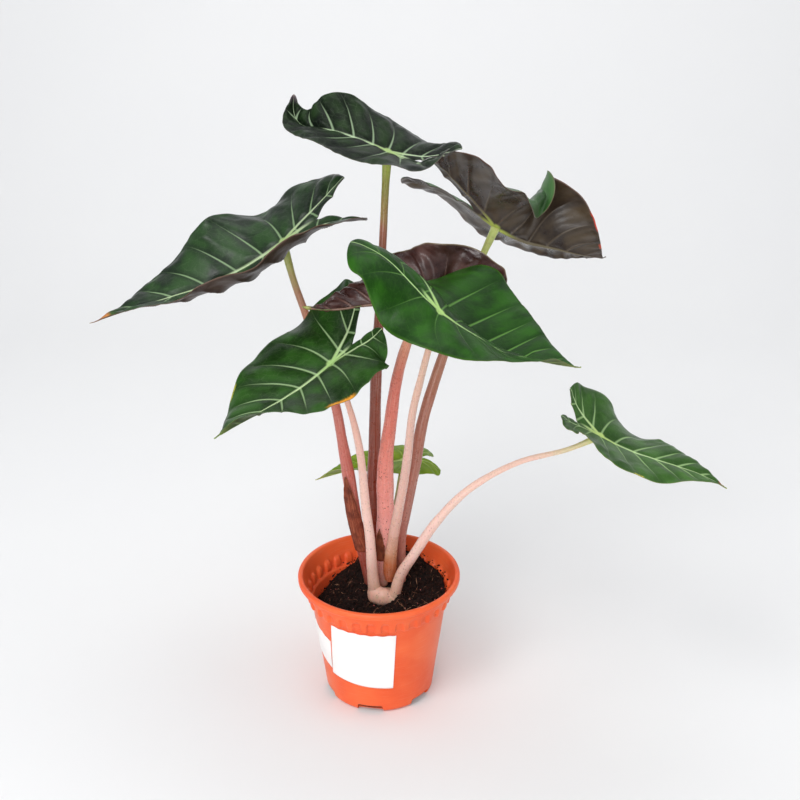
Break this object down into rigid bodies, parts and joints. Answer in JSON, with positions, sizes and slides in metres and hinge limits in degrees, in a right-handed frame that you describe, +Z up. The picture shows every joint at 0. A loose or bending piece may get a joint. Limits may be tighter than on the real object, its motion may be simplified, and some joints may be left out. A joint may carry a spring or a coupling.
{
  "type": "potted houseplant",
  "caption": "Potted flamingo alocasia: arrowhead leaves on pink stalks rising from a crown in peat, in a tapered fluted plastic nursery pot with blank paper labels.",
  "frame": {"origin": "centre of the pot's flat underside", "axes": "+Z up out of the pot, -Y towards the side that carries the large label, +X to the right as that side is faced"},
  "size_m": [0.5212, 0.3572, 0.547],
  "materials": {
    "pot_plastic": "injection moulded, soft sheen",
    "peat": "damp, crumbly, matte",
    "crown_tissue": "fleshy, satin",
    "stalk_dark": "fleshy, satin",
    "stalk_pink": "fleshy, satin",
    "stalk_pale": "fleshy, satin",
    "blade_dark": "leathery, satin",
    "blade_green": "leathery, satin",
    "blade_young": "leathery, satin",
    "dry_husk": "dry, papery",
    "label_paper": "coated, smooth"
  },
  "bodies": {
    "root": {"pot": "pot_plastic", "soil": "peat", "crown": "crown_tissue", "petiole_1": "stalk_dark", "petiole_2": "stalk_dark", "petiole_3": "stalk_dark", "petiole_4": "stalk_pink", "petiole_5": "stalk_pale", "petiole_6": "stalk_pale", "petiole_7": "stalk_pale", "petiole_8": "stalk_pale", "leaf_1": "blade_dark", "leaf_2": "blade_dark", "leaf_3": "blade_dark", "leaf_4": "blade_dark", "leaf_5": "blade_green", "leaf_6": "blade_green", "leaf_7": "blade_green", "leaf_8": "blade_young", "dry_sheath": "dry_husk", "dry_scale": "dry_husk", "label_front": "label_paper", "label_side": "label_paper"}
  },
  "joints": []
}
